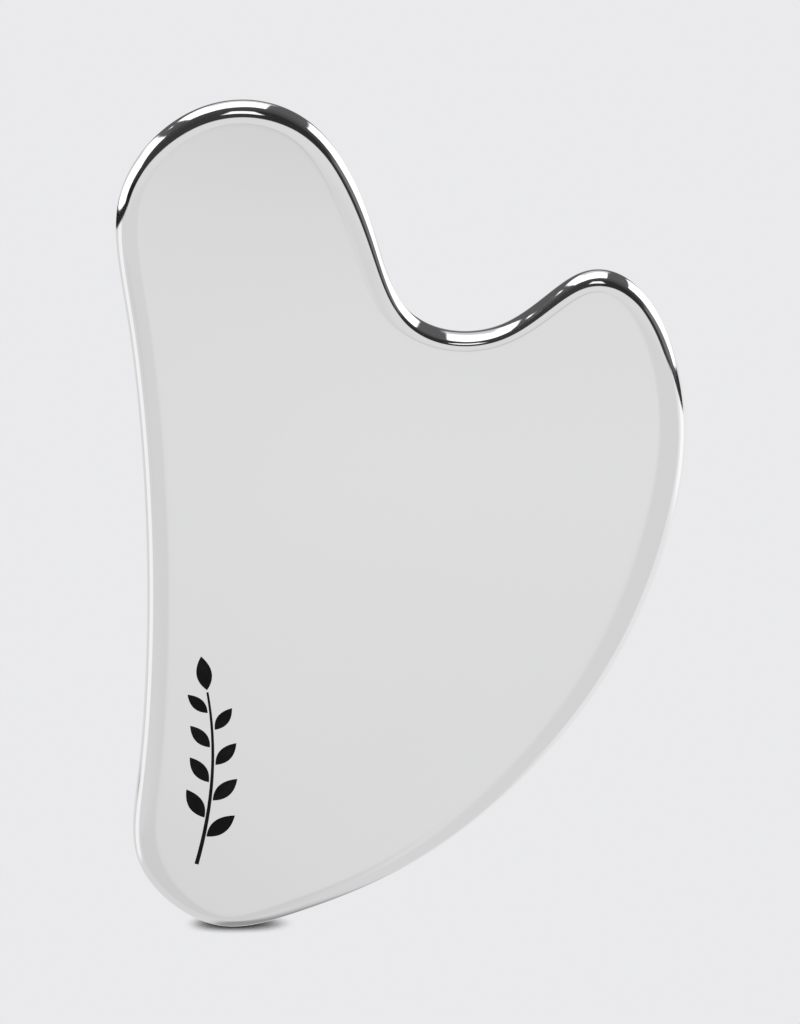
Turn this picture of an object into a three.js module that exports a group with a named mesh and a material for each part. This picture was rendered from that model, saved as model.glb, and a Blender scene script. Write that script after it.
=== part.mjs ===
// Gua sha scraper: one solid plate of polished stainless steel in the shape of a leaning heart, with a big
// round lobe, a valley, a small lobe, a long bowed edge and a rounded foot. A sprig is printed on its front.
//
// Millimetres. +Z runs up the length of the plate and +X to the right, seen from the front. The front face
// looks along -Y. The foot touches z = 0, and the origin is the middle of the underside of the plate's box.
import * as THREE from "three";

// Plate
const THICKNESS = 3.8;
const EDGE_RADIUS = 1.4; // rounding between the side wall and each face
const VALLEY_EDGE_RADIUS = 0.6; // the same in the valley between the lobes, where the edge is crisper
const VALLEY = new THREE.Vector2(6.3, 64.8); // [x, z]
const VALLEY_REACH = 15; // distance from the valley over which the rounding grows
const WALL_LEAN = THREE.MathUtils.degToRad(10); // lean of the bulging side wall where the rounding starts
const BEVEL_SLOPE = THREE.MathUtils.degToRad(8); // lean of a face's soft margin where it meets the rounding
const BEVEL_WIDTH = 0.5; // width of the margin at the top and at the foot
const BEVEL_WIDTH_SIDES = 1.1; // what the left and right sides add to it
const BEVEL_WIDTH_RIGHT = 0.3; // what the right side adds, and the left side takes away
const BEVEL_NARROWING = 0.8; // share of that which is lost where the edge faces up, and gained facing down

// Outline: control points of a closed uniform cubic B-spline, [x, z], anticlockwise seen from the front.
// The curve runs inside the turns of this polygon and its curvature never jumps.
const OUTLINE_CONTROLS = [
  [-11.0, -0.6], // foot
  [4.5, 5.8], // long bowed edge
  [21.7, 24.2],
  [28.5, 44.8], // right shoulder
  [28.7, 57.6],
  [24.6, 68.1], // small lobe
  [17.6, 70.7],
  [10.7, 61.6], // valley between the lobes
  [-0.1, 62.9],
  [-2.0, 73.0], // inner side of the big lobe
  [-7.4, 86.3], // big lobe
  [-19.7, 88.3],
  [-29.7, 77.9],
  [-26.5, 64.9], // hollow left edge
  [-24.9, 39.0],
  [-26.2, 14.9],
  [-28.5, 5.0], // heel
  [-19.5, -3.2],
];

// Facets
const STEPS_PER_SPAN = 10; // outline steps for each control point
const WALL_STEPS = 2; // from the middle of the side wall to the rounding
const ROUND_STEPS = 6;
const BEVEL_STEPS = 3;

// Printed sprig: a stem up the lower left of the front face, with leaves on both sides and one at its tip
const INK_THICKNESS = 0.05;
const INK_CLEARANCE = 0.02; // air between the ink and the steel, so that the two solids don't share a face
const STEM_FOOT = new THREE.Vector2(-20.9, 7.6);
const STEM_BEND = new THREE.Vector2(-18.2, 17.5);
const STEM_TIP = new THREE.Vector2(-19.6, 26.6);
const STEM_WIDTH = 0.42; // at the foot
const STEM_TIP_WIDTH = 0.22;
const STEM_STEPS = 16;
const SIDE_LEAVES = 8;
const FIRST_LEAF_AT = 0.16; // share of the stem's length below the lowest leaf
const LAST_LEAF_AT = 0.88;
const LEAF_LENGTH = 3.7; // of the longest leaf
const LEAF_SHRINK = 0.9; // length that the highest leaf gives up
const LEAF_FULLNESS = 0.21; // half width as a share of the length
const LEAF_LEAN = THREE.MathUtils.degToRad(40); // between a leaf and the stem
const LEAF_GAP = 0.28; // between the middle of the stem and the start of a leaf
const LEAF_STEPS = 14; // along each side of a leaf

const steel = new THREE.MeshStandardMaterial({ color: 0xd9dadc, roughness: 0.08, metalness: 1 });
const ink = new THREE.MeshStandardMaterial({ color: 0x0c0c0d, roughness: 0.45, metalness: 0 });

// A point of the outline and the unit vector that points out of the plate there, for share t of one span.
function outlinePoint(span, t) {
  const [a, b, c, d] = [0, 1, 2, 3].map((k) => OUTLINE_CONTROLS[(span + k) % OUTLINE_CONTROLS.length]);
  const place = [(1 - t) ** 3, 3 * t ** 3 - 6 * t ** 2 + 4, -3 * t ** 3 + 3 * t ** 2 + 3 * t + 1, t ** 3];
  const slope = [-((1 - t) ** 2), 3 * t ** 2 - 4 * t, -3 * t ** 2 + 2 * t + 1, t ** 2];
  const mix = (weights, axis) =>
    weights[0] * a[axis] + weights[1] * b[axis] + weights[2] * c[axis] + weights[3] * d[axis];
  const point = new THREE.Vector2(mix(place, 0) / 6, mix(place, 1) / 6);
  const outward = new THREE.Vector2(mix(slope, 1), -mix(slope, 0)).normalize();
  return { point, outward };
}

// The whole outline, moved so that its box is centred on x = 0 and stands on z = 0.
function plateOutline() {
  const samples = [];
  for (let span = 0; span < OUTLINE_CONTROLS.length; span++) {
    for (let step = 0; step < STEPS_PER_SPAN; step++) {
      samples.push(outlinePoint(span, step / STEPS_PER_SPAN));
    }
  }
  const box = new THREE.Box2().setFromPoints(samples.map((sample) => sample.point));
  const origin = new THREE.Vector2((box.min.x + box.max.x) / 2, box.min.y);
  samples.forEach((sample) => sample.point.sub(origin));
  return samples;
}

// Radius of the edge's rounding at a point of the outline.
function edgeRadius(point) {
  const nearness = Math.exp(-point.distanceToSquared(VALLEY) / VALLEY_REACH ** 2);
  return THREE.MathUtils.lerp(EDGE_RADIUS, VALLEY_EDGE_RADIUS, nearness);
}

// Width of the margin where the edge faces this way: widest at the lower right, narrowest at the top.
function bevelWidth(outward) {
  const added = BEVEL_WIDTH_SIDES * outward.x ** 2 + BEVEL_WIDTH_RIGHT * outward.x;
  return BEVEL_WIDTH + added * (1 - BEVEL_NARROWING * outward.y);
}

// Half of the cross-section at one point of the outline, from the middle of the bulging side wall, round the
// edge and over the soft margin to the flat face. inset is the distance in from the outline and depth the
// distance from the middle plane.
function halfSection({ point, outward }) {
  const radius = edgeRadius(point);
  const bevel = bevelWidth(outward);
  const drop = (bevel * Math.tan(BEVEL_SLOPE)) / 2;
  const roundDepth = THICKNESS / 2 - drop - radius * Math.cos(BEVEL_SLOPE);
  const wallRadius = roundDepth / Math.sin(WALL_LEAN) + radius;
  const roundInset = wallRadius * (1 - Math.cos(WALL_LEAN)) + radius * Math.cos(WALL_LEAN);
  const section = [];
  for (let step = 0; step <= WALL_STEPS; step++) {
    const lean = (WALL_LEAN * step) / WALL_STEPS;
    section.push({ inset: wallRadius * (1 - Math.cos(lean)), depth: wallRadius * Math.sin(lean) });
  }
  for (let step = 1; step <= ROUND_STEPS; step++) {
    const lean = THREE.MathUtils.lerp(WALL_LEAN, Math.PI / 2 - BEVEL_SLOPE, step / ROUND_STEPS);
    const inset = roundInset - radius * Math.cos(lean);
    section.push({ inset, depth: roundDepth + radius * Math.sin(lean) });
  }
  const bevelInset = section.at(-1).inset;
  for (let step = 1; step <= BEVEL_STEPS; step++) {
    const share = step / BEVEL_STEPS;
    section.push({ inset: bevelInset + share * bevel, depth: THICKNESS / 2 - drop * (1 - share) ** 2 });
  }
  return section;
}

// The plate: rings of the outline from the back face to the front face, closed by two flat caps.
function plateGeometry() {
  const outline = plateOutline();
  const sections = outline.map(halfSection);
  const count = outline.length;
  const last = WALL_STEPS + ROUND_STEPS + BEVEL_STEPS;
  const positions = [];
  for (let station = -last; station <= last; station++) {
    outline.forEach(({ point, outward }, i) => {
      const { inset, depth } = sections[i][Math.abs(station)];
      const placed = point.clone().addScaledVector(outward, -inset);
      positions.push(placed.x, -Math.sign(station) * depth, placed.y);
    });
  }
  const triangles = [];
  for (let ring = 0; ring < 2 * last; ring++) {
    for (let i = 0; i < count; i++) {
      const next = (i + 1) % count;
      const a = ring * count + i;
      const b = ring * count + next;
      triangles.push(a, b, b + count, a, b + count, a + count);
    }
  }
  const lastRing = 2 * last * count;
  const rim = outline.map((_, i) => new THREE.Vector2(positions[3 * i], positions[3 * i + 2]));
  for (const [a, b, c] of THREE.ShapeUtils.triangulateShape(rim, [])) {
    triangles.push(lastRing + a, lastRing + b, lastRing + c, c, b, a);
  }
  const geometry = new THREE.BufferGeometry();
  geometry.setAttribute("position", new THREE.Float32BufferAttribute(positions, 3));
  geometry.setIndex(triangles);
  geometry.computeVertexNormals();
  return geometry;
}

// A flat island of ink on the front face. Its shape is drawn in x and z, anticlockwise seen from the front.
function inkMesh(name, points) {
  const shape = new THREE.Shape(points);
  const geometry = new THREE.ExtrudeGeometry(shape, { depth: INK_THICKNESS, bevelEnabled: false });
  const mesh = new THREE.Mesh(geometry, ink);
  mesh.name = name;
  mesh.rotation.x = Math.PI / 2;
  mesh.position.y = -(THICKNESS / 2 + INK_CLEARANCE);
  return mesh;
}

const stemLine = new THREE.QuadraticBezierCurve(STEM_FOOT, STEM_BEND, STEM_TIP);

// The vector square to the stem, to its right.
function besideStem(t) {
  const along = stemLine.getTangent(t);
  return new THREE.Vector2(along.y, -along.x);
}

// The stem, a ribbon that narrows towards its tip.
function stem() {
  const sides = [[], []];
  for (let step = 0; step <= STEM_STEPS; step++) {
    const t = step / STEM_STEPS;
    const halfWidth = THREE.MathUtils.lerp(STEM_WIDTH, STEM_TIP_WIDTH, t) / 2;
    sides[0].push(stemLine.getPoint(t).addScaledVector(besideStem(t), halfWidth));
    sides[1].push(stemLine.getPoint(t).addScaledVector(besideStem(t), -halfWidth));
  }
  return inkMesh("print_stem", [...sides[0], ...sides[1].reverse()]);
}

// A leaf with two bowed sides and a point at each end.
function leaf(name, start, angle, length) {
  const along = new THREE.Vector2(Math.cos(angle), Math.sin(angle));
  const beside = new THREE.Vector2(along.y, -along.x);
  const tip = start.clone().addScaledVector(along, length);
  const side = (bow) => {
    const middle = start.clone().addScaledVector(along, 0.45 * length);
    middle.addScaledVector(beside, 2 * bow * LEAF_FULLNESS * length);
    return new THREE.QuadraticBezierCurve(start, middle, tip).getPoints(LEAF_STEPS);
  };
  return inkMesh(name, [...side(1), ...side(-1).reverse().slice(1, -1)]);
}

// The leaves, numbered from the foot of the stem, right and left in turn, and last the one on its tip.
function leaves() {
  const made = [];
  for (let i = 0; i < SIDE_LEAVES; i++) {
    const height = i / (SIDE_LEAVES - 1);
    const t = THREE.MathUtils.lerp(FIRST_LEAF_AT, LAST_LEAF_AT, height);
    const side = i % 2 ? -1 : 1;
    const start = stemLine.getPoint(t).addScaledVector(besideStem(t), side * LEAF_GAP);
    const angle = stemLine.getTangent(t).angle() - side * LEAF_LEAN;
    made.push(leaf(`print_leaf_${i + 1}`, start, angle, LEAF_LENGTH - LEAF_SHRINK * height));
  }
  const tipAngle = stemLine.getTangent(1).angle();
  const tipStart = STEM_TIP.clone().addScaledVector(stemLine.getTangent(1), LEAF_GAP);
  made.push(leaf(`print_leaf_${SIDE_LEAVES + 1}`, tipStart, tipAngle, LEAF_LENGTH));
  return made;
}

const plate = new THREE.Mesh(plateGeometry(), steel);
plate.name = "steel_plate";

const guaSha = new THREE.Group();
guaSha.add(plate, stem(), ...leaves());

export default guaSha;
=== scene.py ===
"""Studio picture of a polished steel gua sha scraper, standing on its foot on a pale floor.

Lengths are in metres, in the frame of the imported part: +Z up, the printed face towards -Y.
"""

import math

import bpy
import numpy as np
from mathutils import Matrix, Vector


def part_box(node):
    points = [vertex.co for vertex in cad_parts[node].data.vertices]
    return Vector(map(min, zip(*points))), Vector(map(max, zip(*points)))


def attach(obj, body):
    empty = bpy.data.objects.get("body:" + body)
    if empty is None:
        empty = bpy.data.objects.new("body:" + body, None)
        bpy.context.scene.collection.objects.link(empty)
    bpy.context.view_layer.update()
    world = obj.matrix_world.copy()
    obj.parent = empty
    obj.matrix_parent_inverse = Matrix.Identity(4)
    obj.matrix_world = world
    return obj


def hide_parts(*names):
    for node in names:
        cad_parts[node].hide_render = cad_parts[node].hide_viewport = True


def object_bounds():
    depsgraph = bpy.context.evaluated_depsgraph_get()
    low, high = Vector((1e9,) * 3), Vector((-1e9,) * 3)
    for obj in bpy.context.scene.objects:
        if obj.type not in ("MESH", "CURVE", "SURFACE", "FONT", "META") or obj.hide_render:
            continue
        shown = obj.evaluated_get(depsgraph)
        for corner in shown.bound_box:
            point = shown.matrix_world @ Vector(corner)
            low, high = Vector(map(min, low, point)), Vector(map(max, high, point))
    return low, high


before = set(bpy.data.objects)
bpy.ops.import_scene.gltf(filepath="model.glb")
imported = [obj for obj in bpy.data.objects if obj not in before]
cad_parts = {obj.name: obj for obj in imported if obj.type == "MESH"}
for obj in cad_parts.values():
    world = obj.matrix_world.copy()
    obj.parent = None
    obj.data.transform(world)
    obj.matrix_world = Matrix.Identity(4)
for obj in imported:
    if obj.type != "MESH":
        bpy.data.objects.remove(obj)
cad_low, cad_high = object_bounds()

MM = 0.001

# Cross-section of the plate's rim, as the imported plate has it
EDGE_RADIUS = 1.4 * MM  # rounding between the side wall and each face
VALLEY_EDGE_RADIUS = 0.6 * MM  # the same in the valley between the lobes
VALLEY = (6.3 * MM, 64.8 * MM)  # (x, z)
VALLEY_REACH = 15 * MM  # distance from the valley over which the rounding grows
WALL_LEAN = math.radians(10)  # lean of the bulging side wall where the rounding starts
BEVEL_SLOPE = math.radians(8)  # lean of a face's soft margin where it meets the rounding
BEVEL_WIDTH = 0.5 * MM  # width of the margin at the top and at the foot
BEVEL_WIDTH_SIDES = 1.1 * MM  # what the left and right sides add to it
BEVEL_WIDTH_RIGHT = 0.3 * MM  # what the right side adds, and the left side takes away
BEVEL_NARROWING = 0.8  # share of that which is lost where the edge faces up, and gained facing down
FLAT_MARGIN = 0.4 * MM  # a first flat ring inside the margin, so that the face's shading starts flat

# Fineness of the plate's mesh
OUTLINE_SUBSTEPS = 6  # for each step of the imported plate's outline
WALL_STEPS = 12
ROUND_STEPS = 14
BEVEL_STEPS = 12

# Camera
VIEW_ELEVATION = math.radians(22)
LENS_MM = 250
SENSOR_MM = 36
VIEW_HEIGHT = 102.4 * MM  # height of the picture where the plate stands
AIM_OFFSET = Vector((-0.2 * MM, 0, 1.1 * MM))  # from the middle of the plate's box

# Floor and background
PALE = (0.823, 0.823, 0.839)  # linear light
FLOOR_RADIUS = 60
SHADOW_REACH = 1.5 * MM  # farthest that the plate shades the floor
OPEN_WHERE_BLACK = 0.06  # share of the sky that is open where the shadow is black
OPEN_WHERE_LIT = 0.77  # and where the floor is fully lit


class Graph:
    """Adds nodes to a node tree, and joins whatever sockets they are given."""

    def __init__(self, tree):
        self.tree = tree
        tree.nodes.clear()

    def put(self, socket, value):
        if isinstance(value, bpy.types.NodeSocket):
            self.tree.links.new(value, socket)
        elif value is not None:
            socket.default_value = value

    def node(self, kind, settings=None, **inputs):
        made = self.tree.nodes.new(kind)
        for name, value in (settings or {}).items():
            setattr(made, name, value)
        for name, value in inputs.items():
            self.put(made.inputs[name.replace("_", " ")], value)
        return made

    def math(self, operation, *values):
        made = self.node("ShaderNodeMath", {"operation": operation})
        for socket, value in zip(made.inputs, values):
            self.put(socket, value)
        return made.outputs[0]

    def ramp(self, value, start, end, low=0.0, high=1.0):
        """A smooth step from low to high as value goes from start to end."""
        settings = {"interpolation_type": "SMOOTHSTEP", "clamp": True}
        made = self.node("ShaderNodeMapRange", settings, Value=value)
        for name, number in (("From Min", start), ("From Max", end), ("To Min", low), ("To Max", high)):
            self.put(made.inputs[name], number)
        return made.outputs["Result"]

    def mix(self, factor, a, b):
        """a where factor is 0 and b where it is 1, for numbers."""
        made = self.node("ShaderNodeMix", {"data_type": "FLOAT"})
        for index, value in ((0, factor), (2, a), (3, b)):
            self.put(made.inputs[index], value)
        return made.outputs[0]

    def mix_colour(self, factor, a, b):
        made = self.node("ShaderNodeMix", {"data_type": "RGBA"})
        for index, value in ((0, factor), (6, a), (7, b)):
            self.put(made.inputs[index], value)
        return made.outputs[2]


# Camera


def make_camera():
    """A long lens aimed at the middle of the plate from the front and above."""
    data = bpy.data.cameras.new("camera")
    data.lens = LENS_MM
    data.sensor_width = SENSOR_MM
    data.clip_end = 20
    camera = bpy.data.objects.new("camera", data)
    bpy.context.scene.collection.objects.link(camera)
    aim = (cad_low + cad_high) / 2 + AIM_OFFSET
    back = Vector((0, -math.cos(VIEW_ELEVATION), math.sin(VIEW_ELEVATION)))
    camera.location = aim + back * (VIEW_HEIGHT * LENS_MM / SENSOR_MM)
    camera.rotation_euler = (-back).to_track_quat("-Z", "Y").to_euler()
    bpy.context.scene.camera = camera


# Plate


def middle_outline(cad_object):
    """The CAD plate's widest outline, half way between its faces, anticlockwise seen from the front."""
    mesh = cad_object.data
    neighbours = {}
    for polygon in mesh.polygons:
        corners = [mesh.vertices[i].co for i in polygon.vertices]
        for a, b in zip(corners, corners[1:] + corners[:1]):
            if abs(a.y) < 0.001 * MM and abs(b.y) < 0.001 * MM:
                key_a, key_b = (tuple(round(c / MM, 4) for c in (p.x, p.z)) for p in (a, b))
                neighbours.setdefault(key_a, set()).add(key_b)
                neighbours.setdefault(key_b, set()).add(key_a)
    walk = [min(neighbours)]
    while True:
        onward = neighbours[walk[-1]] - set(walk)
        if not onward:
            break
        walk.append(min(onward))
    points = np.array(walk) * MM
    x, z = points.T
    area = (x * np.roll(z, -1) - np.roll(x, -1) * z).sum() / 2
    return points if area > 0 else points[::-1]


def smooth_closed_curve(points, substeps):
    """Points and outward unit vectors on the closed cubic spline through the points.

    Each point is the mean of its own control, counted four times, and the two beside it. A Fourier transform
    solves that for all the controls at once.
    """
    turns = np.fft.fftfreq(len(points))[:, None]
    share = (4 + 2 * np.cos(2 * np.pi * turns)) / 6
    controls = np.fft.ifft(np.fft.fft(points, axis=0) / share, axis=0).real
    a, b, c, d = (np.roll(controls, 1 - k, axis=0)[:, None, :] for k in range(4))
    t = (np.arange(substeps) / substeps)[None, :, None]
    cubic = (1 - t) ** 3 * a + (3 * t**3 - 6 * t**2 + 4) * b
    cubic = cubic + (-3 * t**3 + 3 * t**2 + 3 * t + 1) * c + t**3 * d
    slope = -((1 - t) ** 2) * a + (3 * t**2 - 4 * t) * b + (-3 * t**2 + 2 * t + 1) * c + t**2 * d
    curve = cubic.reshape(-1, 2) / 6
    along = slope.reshape(-1, 2)
    along /= np.linalg.norm(along, axis=1)[:, None]
    return curve, np.stack([along[:, 1], -along[:, 0]], axis=1)


def half_section(curve, outward, half_thickness):
    """Insets and depths from the middle of the wall to the flat face, one pair of arrays for each ring."""
    nearness = np.exp(-((curve - np.array(VALLEY)) ** 2).sum(axis=1) / VALLEY_REACH**2)
    radius = EDGE_RADIUS + (VALLEY_EDGE_RADIUS - EDGE_RADIUS) * nearness
    added = BEVEL_WIDTH_SIDES * outward[:, 0] ** 2 + BEVEL_WIDTH_RIGHT * outward[:, 0]
    bevel = BEVEL_WIDTH + added * (1 - BEVEL_NARROWING * outward[:, 1])
    drop = bevel * math.tan(BEVEL_SLOPE) / 2
    round_depth = half_thickness - drop - radius * math.cos(BEVEL_SLOPE)
    wall_radius = round_depth / math.sin(WALL_LEAN) + radius
    round_inset = wall_radius * (1 - math.cos(WALL_LEAN)) + radius * math.cos(WALL_LEAN)
    section = []
    for lean in np.linspace(0, WALL_LEAN, WALL_STEPS + 1):
        section.append((wall_radius * (1 - math.cos(lean)), wall_radius * math.sin(lean)))
    for lean in np.linspace(WALL_LEAN, math.pi / 2 - BEVEL_SLOPE, ROUND_STEPS + 1)[1:]:
        section.append((round_inset - radius * math.cos(lean), round_depth + radius * math.sin(lean)))
    bevel_inset = section[-1][0]
    for share in np.linspace(0, 1, BEVEL_STEPS + 1)[1:]:
        section.append((bevel_inset + share * bevel, half_thickness - drop * (1 - share) ** 2))
    section.append((section[-1][0] + FLAT_MARGIN, section[-1][1]))
    return section


def ring_vertices(curve, outward, rings):
    """The corners of the plate's mesh, ring after ring from the back face to the front face."""
    vertices = []
    for inset, depth in rings:
        ring = curve - outward * inset[:, None]
        vertices.append(np.stack([ring[:, 0], depth, ring[:, 1]], axis=1))
    return np.concatenate(vertices).tolist()


def ring_faces(ring_count, count):
    """Quads between rings of count corners each, and one flat face on the first ring and on the last."""
    faces = []
    for ring in range(ring_count - 1):
        for i in range(count):
            a = ring * count + i
            b = ring * count + (i + 1) % count
            faces.append((a, b, b + count, a + count))
    last = (ring_count - 1) * count
    faces.append(tuple(range(last, last + count)))
    faces.append(tuple(range(count - 1, -1, -1)))
    return faces


def make_plate():
    """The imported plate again, with the same cross-section in finer steps, so that it mirrors smoothly."""
    low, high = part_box("steel_plate")
    outline = middle_outline(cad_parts["steel_plate"])
    curve, outward = smooth_closed_curve(outline, OUTLINE_SUBSTEPS)
    half = half_section(curve, outward, (high.y - low.y) / 2)
    rings = half[:0:-1] + [(inset, -depth) for inset, depth in half]
    mesh = bpy.data.meshes.new("polished_plate")
    mesh.from_pydata(ring_vertices(curve, outward, rings), [], ring_faces(len(rings), len(curve)))
    mesh.polygons.foreach_set("use_smooth", [True] * len(mesh.polygons))
    mesh.update()
    plate = bpy.data.objects.new("polished_plate", mesh)
    bpy.context.scene.collection.objects.link(plate)
    plate.data.materials.append(steel_material())
    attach(plate, "root")
    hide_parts("steel_plate")


# Materials


def new_material(name):
    made = bpy.data.materials.new(name)
    made.use_nodes = True
    return made, Graph(made.node_tree)


def steel_material():
    """Mirror-polished stainless steel: fine hairlines up the plate, and patches made hazier by handling."""
    made, g = new_material("polished_steel")
    place = g.node("ShaderNodeTexCoord").outputs["Object"]
    lines_at = g.node("ShaderNodeMapping", Vector=place, Scale=(2600, 2600, 90)).outputs[0]
    lines = g.node("ShaderNodeTexNoise", Vector=lines_at, Scale=1.0, Detail=3.0, Roughness=0.6).outputs["Fac"]
    haze = g.node("ShaderNodeTexNoise", Vector=place, Scale=70.0, Detail=4.0, Roughness=0.55).outputs["Fac"]
    roughness = g.ramp(haze, 0.35, 0.75, 0.055, 0.07)
    roughness = g.math("ADD", roughness, g.math("MULTIPLY", lines, 0.015))
    bump = g.node("ShaderNodeBump", Strength=0.03, Distance=0.00002, Height=lines).outputs[0]
    tint = g.mix_colour(haze, (0.81, 0.81, 0.813, 1), (0.83, 0.83, 0.83, 1))
    surface = g.node(
        "ShaderNodeBsdfPrincipled", Base_Color=tint, Metallic=1.0, Roughness=roughness, Normal=bump
    )
    out = g.node("ShaderNodeOutputMaterial")
    g.put(out.inputs["Surface"], surface.outputs[0])
    return made


def ink_material():
    """Black pad-printed ink: matt, with a faint grain and a few thinner specks."""
    made, g = new_material("black_ink")
    place = g.node("ShaderNodeTexCoord").outputs["Object"]
    grain = g.node("ShaderNodeTexNoise", Vector=place, Scale=6000.0, Detail=3.0).outputs["Fac"]
    cloud = g.node("ShaderNodeTexNoise", Vector=place, Scale=900.0, Detail=2.0).outputs["Fac"]
    colour = g.mix_colour(g.ramp(cloud, 0.4, 0.75), (0.003, 0.003, 0.0035, 1), (0.008, 0.008, 0.009, 1))
    roughness = g.ramp(grain, 0.2, 0.8, 0.5, 0.65)
    bump = g.node("ShaderNodeBump", Strength=0.25, Distance=0.00001, Height=grain).outputs[0]
    surface = g.node("ShaderNodeBsdfPrincipled", Base_Color=colour, Roughness=roughness, Normal=bump)
    g.put(surface.inputs["Specular IOR Level"], 0.12)
    out = g.node("ShaderNodeOutputMaterial")
    g.put(out.inputs["Surface"], surface.outputs[0])
    return made


def paint_print():
    """One ink on the stem and all the leaves."""
    ink = ink_material()
    for name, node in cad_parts.items():
        if name.startswith("print_"):
            node.data.materials.clear()
            node.data.materials.append(ink)


# Studio


def make_floor():
    """A pale floor that glows evenly, with a painted contact shadow where the plate's foot meets it."""
    bpy.ops.mesh.primitive_circle_add(vertices=96, radius=FLOOR_RADIUS, fill_type="NGON", location=(0, 0, 0))
    floor = bpy.context.object
    floor.name = "floor"
    made, g = new_material("pale_floor")
    # Painted shadow: the floor's glow is darkened by ambient occlusion near the plate, not shaded by a lamp.
    open_sky = g.node("ShaderNodeAmbientOcclusion", {"samples": 6}, Distance=SHADOW_REACH).outputs["AO"]
    lit = g.ramp(open_sky, OPEN_WHERE_BLACK, OPEN_WHERE_LIT)
    colour = g.mix_colour(lit, (0, 0, 0, 1), (*PALE, 1))
    light = g.node("ShaderNodeEmission", Color=colour, Strength=1.0).outputs[0]
    out = g.node("ShaderNodeOutputMaterial")
    g.put(out.inputs["Surface"], light)
    floor.data.materials.append(made)
    floor.visible_glossy = False
    floor.visible_diffuse = False


# What the steel reflects: softboxes, screens, a lit floor and the dark parts of the room between them. Each
# shape has its corners, a softness in degrees and a brightness, and later shapes cover earlier ones.
# "behind" corners are degrees right of and above the point straight behind the plate, measured from there.
# "ahead" corners are the same round the point straight in front of it, with +X still to the right.
# "round" corners are a compass angle from behind (clockwise seen from above) and an angle above the horizon.
STUDIO = [
    ("dark corner on the right", "ahead", [(5, 15), (60, -5), (62, 40), (35, 75), (12, 75)], 14, 0.03),
    ("floor", "round", [(-181, -91), (181, -91), (181, -9), (-181, -9)], 2, 0.79),
    ("floor on the right", "round", [(20, -58), (119, -58), (119, -5), (20, -16)], 10, 0.93),
    (
        "shadow of the plate",
        "ahead",
        [(-22, -128), (34, -128), (14, -72), (3, -50), (-3, -50), (-12, -72)],
        16,
        0.35,
    ),
    ("floor lit from the right", "round", [(50, -31), (98, -31), (98, -5), (50, -15)], 7, 1.15),
    ("floor lit from the left", "round", [(-110, -36), (-66, -40), (-72, -10), (-110, -6)], 8, 1.06),
    ("floor in front", "ahead", [(-6, -34), (6, -34), (6, -18.5), (-6, -18.5)], 3, 0.86),
    ("near floor", "ahead", [(-45, -45), (3, -45), (3, -29), (-5, -23), (-45, -26)], 4, 0.73),
    ("brightest floor in front", "ahead", [(-1.5, -22.5), (5, -22.5), (5, -20.8), (-1.5, -20.8)], 2.5, 0.90),
    (
        "dark room beyond the floor on the left",
        "round",
        [(-150, -11.2), (-60, -18.3), (-40, -19), (-20, -19.2), (-20, -8), (-150, 5)],
        1,
        0.02,
    ),
    (
        "dark room beyond the floor on the right",
        "round",
        [(48.5, -18), (76, -15.2), (100, -11.5), (130, -6), (130, 6), (48.5, -8)],
        1,
        0.035,
    ),
    ("middle panel", "behind", [(-8, -14), (8, -14), (9, -2), (5, 4), (-5, 4), (-9, -2)], 5, 0.45),
    ("left softbox", "behind", [(-15, -14), (-22, 2), (-70, 52), (-108, 30), (-114, -14)], 2, 1.5),
    ("left softbox's dim corner", "behind", [(-42, -14), (-16, -14), (-18, -4), (-32, 4)], 5, 0.6),
    ("small lamp", "behind", [(-29.5, 17.5), (-29.5, 19.5), (-34, 24), (-35, 22.5)], 1, 1.5),
    (
        "top softbox",
        "behind",
        [(-24.5, 15.5), (-20, 13), (8, 14), (19, 67), (-6, 75), (-32, 73), (-48, 62)],
        1.5,
        1.5,
    ),
    ("top softbox's dim edge", "behind", [(-13, 12), (9, 12), (10, 21), (-14, 23)], 5, 0.7),
    ("right softbox", "behind", [(14, -13.5), (82, -9), (84, 20), (62, 49), (55, 47), (17, 4)], 2, 1.5),
    ("right screen", "behind", [(84, -12), (118, -12), (112, 32), (84, 32)], 12, 0.2),
    ("front wall", "ahead", [(-36, -16), (40, -14), (42, 8), (24, 17), (-12, 13), (-34, 3)], 6, 0.84),
    ("front strip", "ahead", [(-15, 46), (10, 44), (14, 48), (9, 65), (-11, 66)], 2, 1.3),
    ("dim patch in front", "ahead", [(-2, -18.6), (2, -18.6), (2, -16), (-2, -16)], 2.6, 0.64),
]


# The room between the shapes gets darker from straight behind the plate to its front.
ROOM_BEHIND = 0.115
ROOM_IN_FRONT = 0.045
ROOM_FADE = (40, 125)  # degrees from straight behind


def corner_mask(g, across, up, corners, softness):
    """1 inside the anticlockwise convex shape, 0 outside, with a soft border."""
    mask = None
    for (x0, y0), (x1, y1) in zip(corners, corners[1:] + corners[:1]):
        length = math.hypot(x1 - x0, y1 - y0)
        a, b = (y0 - y1) / length, (x1 - x0) / length
        distance = g.math("MULTIPLY_ADD", across, a, g.math("MULTIPLY_ADD", up, b, -(a * x0 + b * y0)))
        side = g.ramp(distance, -softness / 2, softness / 2)
        mask = side if mask is None else g.math("MULTIPLY", mask, side)
    return mask


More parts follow.
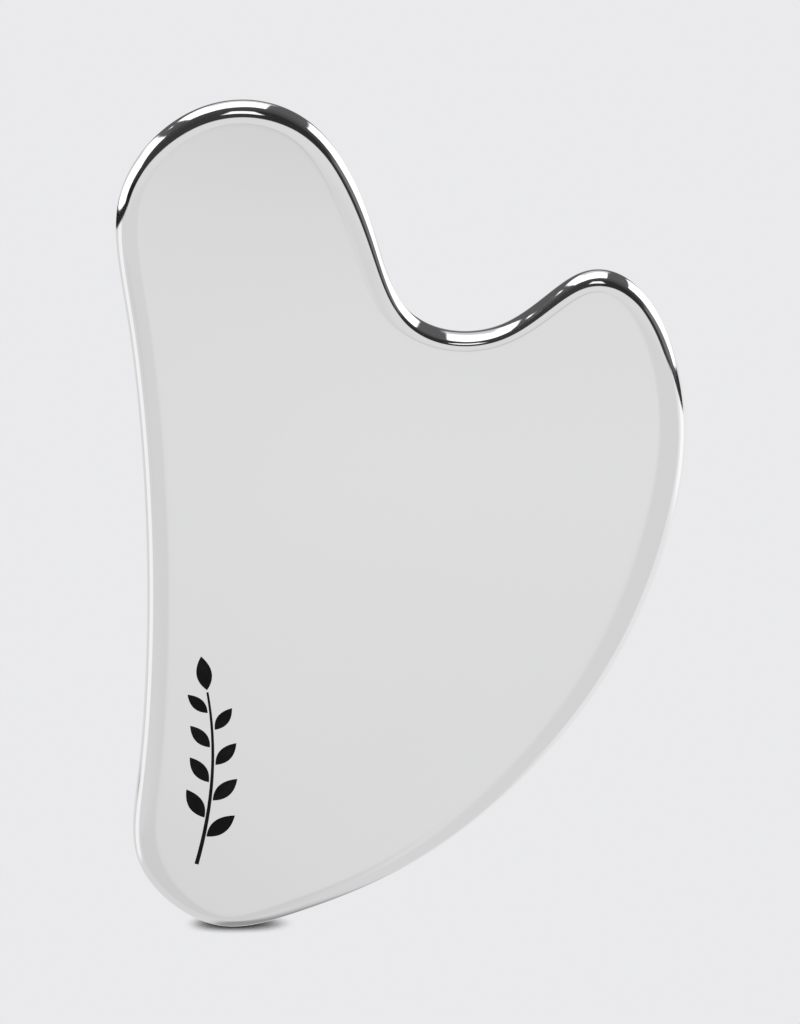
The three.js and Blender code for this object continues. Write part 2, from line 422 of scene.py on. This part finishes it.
def studio_tone(g, x, y, z):
    """Brightness of the studio in the direction (x, y, z)."""
    degrees = 180 / math.pi
    compass = g.math("MULTIPLY", g.math("ARCTAN2", x, y), degrees)
    elevation = g.math("MULTIPLY", g.math("ARCSINE", z), degrees)
    from_behind = g.math("MULTIPLY", g.math("ARCCOSINE", y), degrees)
    off_axis = g.math("SQRT", g.math("MULTIPLY_ADD", x, x, g.math("MULTIPLY", z, z)))
    off_axis = g.math("MAXIMUM", off_axis, 0.0001)  # never quite 0, because it divides
    scale_behind = g.math("DIVIDE", from_behind, off_axis)
    scale_ahead = g.math("DIVIDE", g.math("SUBTRACT", 180, from_behind), off_axis)
    places = {
        "round": (compass, elevation),
        "behind": (g.math("MULTIPLY", x, scale_behind), g.math("MULTIPLY", z, scale_behind)),
        "ahead": (g.math("MULTIPLY", x, scale_ahead), g.math("MULTIPLY", z, scale_ahead)),
    }
    tone = g.ramp(from_behind, *ROOM_FADE, ROOM_BEHIND, ROOM_IN_FRONT)
    for _name, place, corners, softness, brightness in STUDIO:
        tone = g.mix(corner_mask(g, *places[place], corners, softness), tone, brightness)
    return tone


def make_world():
    """Pale light from everywhere, and for reflections a studio of softboxes and dark screens."""
    world = bpy.data.worlds.new("studio")
    bpy.context.scene.world = world
    world.use_nodes = True
    world.cycles.sampling_method = "NONE"
    g = Graph(world.node_tree)
    way = g.node("ShaderNodeSeparateXYZ", Vector=g.node("ShaderNodeTexCoord").outputs["Generated"]).outputs
    tone = studio_tone(g, way["X"], way["Y"], way["Z"])
    grey = g.node("ShaderNodeCombineColor", Red=tone, Green=tone, Blue=tone).outputs[0]
    reflected = g.node("ShaderNodeLightPath").outputs["Is Glossy Ray"]
    colour = g.mix_colour(reflected, (*PALE, 1), grey)
    background = g.node("ShaderNodeBackground", Color=colour, Strength=1.0).outputs[0]
    out = g.node("ShaderNodeOutputWorld")
    g.put(out.inputs["Surface"], background)


bpy.context.scene.view_settings.view_transform = "Standard"
make_camera()
make_plate()
paint_print()
make_floor()
make_world()
